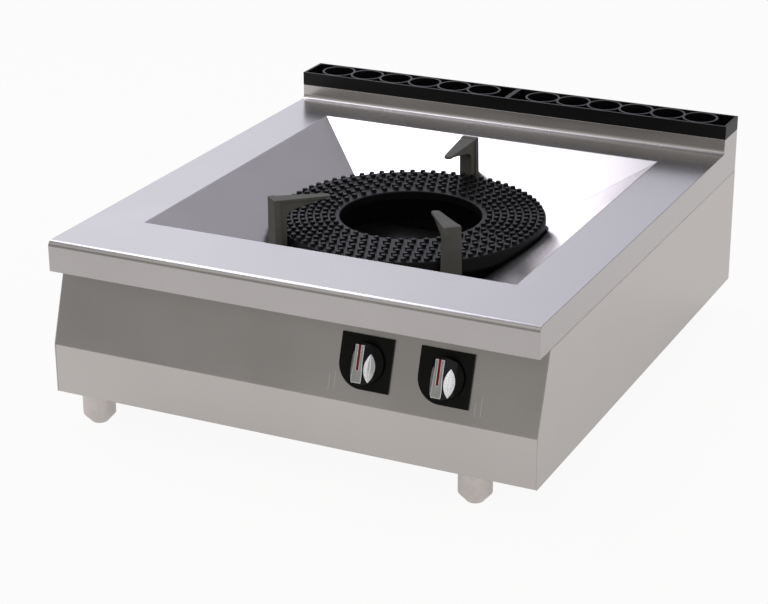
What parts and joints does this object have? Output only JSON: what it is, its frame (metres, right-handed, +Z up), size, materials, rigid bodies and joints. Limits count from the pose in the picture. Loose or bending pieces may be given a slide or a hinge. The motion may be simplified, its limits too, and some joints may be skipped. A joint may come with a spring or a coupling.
{
  "type": "paella burner",
  "caption": "Countertop gas paella burner: steel body, sloped well with a studded ring burner, pan supports, flue grilles at the back, knobs on a slanted front panel and levelling feet.",
  "frame": {"origin": "at the level of the feet's undersides, under the middle of the whole unit with its knobs", "axes": "+X to the right seen from the front, +Y to the back, +Z up"},
  "size_m": [0.8, 0.916, 0.3485],
  "materials": {
    "worktop_steel": "satin brushed",
    "panel_steel": "satin brushed",
    "control_steel": "satin brushed",
    "inner_steel": "mill finish",
    "fastener_steel": "zinc plated",
    "foot_steel": "turned",
    "burner_iron": "fine cast",
    "tube_iron": "cast",
    "support_iron": "matte enamelled",
    "grille_iron": "matte black enamelled",
    "black_plastic": "gloss",
    "bright_trim": "satin chrome",
    "red_line": "gloss",
    "tap_brass": "machined",
    "copper_pipe": "drawn copper"
  },
  "bodies": {
    "unit": {"worktop": "worktop_steel", "burner_well": "worktop_steel", "side_panel_left": "panel_steel", "side_panel_right": "panel_steel", "control_panel": "control_steel", "lower_front_panel": "panel_steel", "back_panel": "inner_steel", "base_pan": "inner_steel", "base_screws": "fastener_steel", "flue_box": "inner_steel", "burner_crossbars": "inner_steel", "burner_body": "burner_iron", "mixer_tube_inner": "tube_iron", "mixer_tube_outer": "tube_iron", "injector_inner": "tap_brass", "injector_outer": "tap_brass", "injector_bracket": "inner_steel", "pilot_bracket": "inner_steel", "pilot_burner": "inner_steel", "pilot_pipe": "copper_pipe", "thermocouples": "copper_pipe", "drip_tray": "inner_steel", "pan_support_back": "support_iron", "pan_support_left": "support_iron", "pan_support_right": "support_iron", "gas_manifold": "inner_steel", "gas_inlet_pipe": "inner_steel", "gas_tap_left": "tap_brass", "gas_tap_right": "tap_brass", "supply_pipe_left": "copper_pipe", "supply_pipe_right": "copper_pipe", "bezel_left": "black_plastic", "bezel_right": "black_plastic", "foot_sockets": "inner_steel"},
    "burner_head": {"burner_head": "burner_iron"},
    "flue_grille_left": {"flue_grille_left": "grille_iron"},
    "flue_grille_right": {"flue_grille_right": "grille_iron"},
    "tap_plug_left": {"tap_plug_left": "tap_brass"},
    "knob_left": {"knob_left": "black_plastic", "knob_face_left": "bright_trim", "knob_cheeks_left": "bright_trim", "knob_marker_left": "red_line", "tap_spindle_left": "inner_steel"},
    "tap_plug_right": {"tap_plug_right": "tap_brass"},
    "knob_right": {"knob_right": "black_plastic", "knob_face_right": "bright_trim", "knob_cheeks_right": "bright_trim", "knob_marker_right": "red_line", "tap_spindle_right": "inner_steel"},
    "air_shutter_inner": {"air_shutter_inner": "inner_steel"},
    "air_shutter_outer": {"air_shutter_outer": "inner_steel"},
    "foot_front_left": {"foot_front_left": "foot_steel", "foot_stud_front_left": "fastener_steel"},
    "foot_front_right": {"foot_front_right": "foot_steel", "foot_stud_front_right": "fastener_steel"},
    "foot_back_left": {"foot_back_left": "foot_steel", "foot_stud_back_left": "fastener_steel"},
    "foot_back_right": {"foot_back_right": "foot_steel", "foot_stud_back_right": "fastener_steel"}
  },
  "joints": [
    {"name": "burner_head_lift", "type": "slide", "parent": "unit", "child": "burner_head", "axis": [0, 0, 1], "range_m": [0, 0.03]},
    {"name": "flue_grille_left_lift", "type": "slide", "parent": "unit", "child": "flue_grille_left", "axis": [0, 0, 1], "range_m": [0, 0.1]},
    {"name": "flue_grille_right_lift", "type": "slide", "parent": "unit", "child": "flue_grille_right", "axis": [0, 0, 1], "range_m": [0, 0.1]},
    {"name": "tap_left_turn", "type": "hinge", "parent": "unit", "child": "tap_plug_left", "pos_m": [0.125, -0.42257, 0.18934], "axis": [0, -0.9487, 0.3162], "range_deg": [0, 270]},
    {"name": "knob_left_push", "type": "slide", "parent": "tap_plug_left", "child": "knob_left", "axis": [0, 0.9487, -0.3162], "range_m": [0, 0.0025], "stiffness_N_per_m": 600, "springref_m": -0.005},
    {"name": "tap_right_turn", "type": "hinge", "parent": "unit", "child": "tap_plug_right", "pos_m": [0.25, -0.42257, 0.18934], "axis": [0, -0.9487, 0.3162], "range_deg": [0, 270]},
    {"name": "knob_right_push", "type": "slide", "parent": "tap_plug_right", "child": "knob_right", "axis": [0, 0.9487, -0.3162], "range_m": [0, 0.0025], "stiffness_N_per_m": 600, "springref_m": -0.005},
    {"name": "air_shutter_inner_turn", "type": "hinge", "parent": "unit", "child": "air_shutter_inner", "pos_m": [-0.045, -0.29202, 0.18395], "axis": [0, 1, 0], "range_deg": [0, 45]},
    {"name": "air_shutter_outer_turn", "type": "hinge", "parent": "unit", "child": "air_shutter_outer", "pos_m": [0.045, -0.29202, 0.18395], "axis": [0, 1, 0], "range_deg": [0, 45]},
    {"name": "foot_front_left_level", "type": "slide", "parent": "unit", "child": "foot_front_left", "axis": [0, 0, -1], "range_m": [0, 0.015]},
    {"name": "foot_front_right_level", "type": "slide", "parent": "unit", "child": "foot_front_right", "axis": [0, 0, -1], "range_m": [0, 0.015]},
    {"name": "foot_back_left_level", "type": "slide", "parent": "unit", "child": "foot_back_left", "axis": [0, 0, -1], "range_m": [0, 0.015]},
    {"name": "foot_back_right_level", "type": "slide", "parent": "unit", "child": "foot_back_right", "axis": [0, 0, -1], "range_m": [0, 0.015]}
  ]
}
